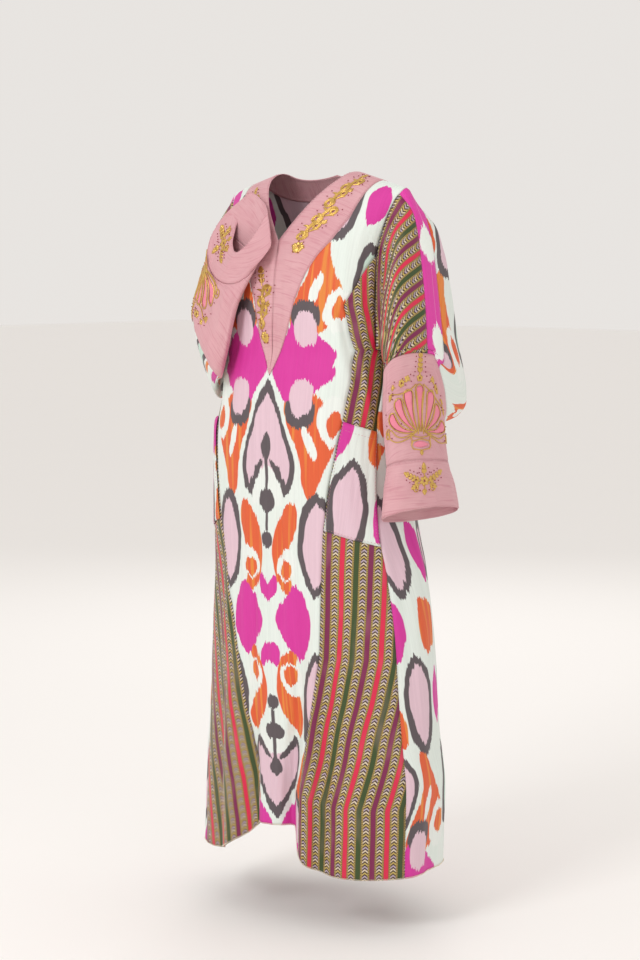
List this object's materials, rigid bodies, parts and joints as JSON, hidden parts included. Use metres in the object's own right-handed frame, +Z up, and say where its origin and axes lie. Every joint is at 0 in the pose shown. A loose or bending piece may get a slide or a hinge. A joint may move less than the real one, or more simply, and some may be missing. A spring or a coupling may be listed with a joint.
{
  "type": "ikat dress",
  "caption": "Long worn dress of ikat cloth with a pink V neckband, striped side gores, patch pockets and wide pieced sleeves, one arm raised to the neck.",
  "frame": {"origin": "middle of the shoulder line, between the two shoulder seams, where the wearer holds the dress up", "axes": "+Z up, the wearer faces -Y, the wearer's left arm is towards +X"},
  "size_m": [0.597, 0.3559, 1.3737],
  "materials": {
    "ikat": "warp ikat, white ground with pink, magenta, orange and charcoal",
    "stripes": "striped brocade in plum, crimson, dark green and old gold",
    "magenta": "plain magenta ikat strip",
    "rose": "slubbed dusty rose cloth with gold embroidery"
  },
  "bodies": {
    "root": {"front_panel": "ikat", "back_panel": "ikat", "side_gore_left": "stripes", "side_gore_right": "stripes", "neckband_left": "rose", "neckband_right": "rose", "sleeve_back_left": "ikat", "sleeve_back_right": "ikat", "sleeve_strip_left": "magenta", "sleeve_strip_right": "magenta", "sleeve_gore_left": "stripes", "sleeve_gore_right": "stripes", "lower_sleeve_left": "rose", "lower_sleeve_right": "rose", "cuff_left": "rose", "cuff_right": "rose", "pocket_left": "ikat", "pocket_right": "ikat"}
  },
  "joints": []
}
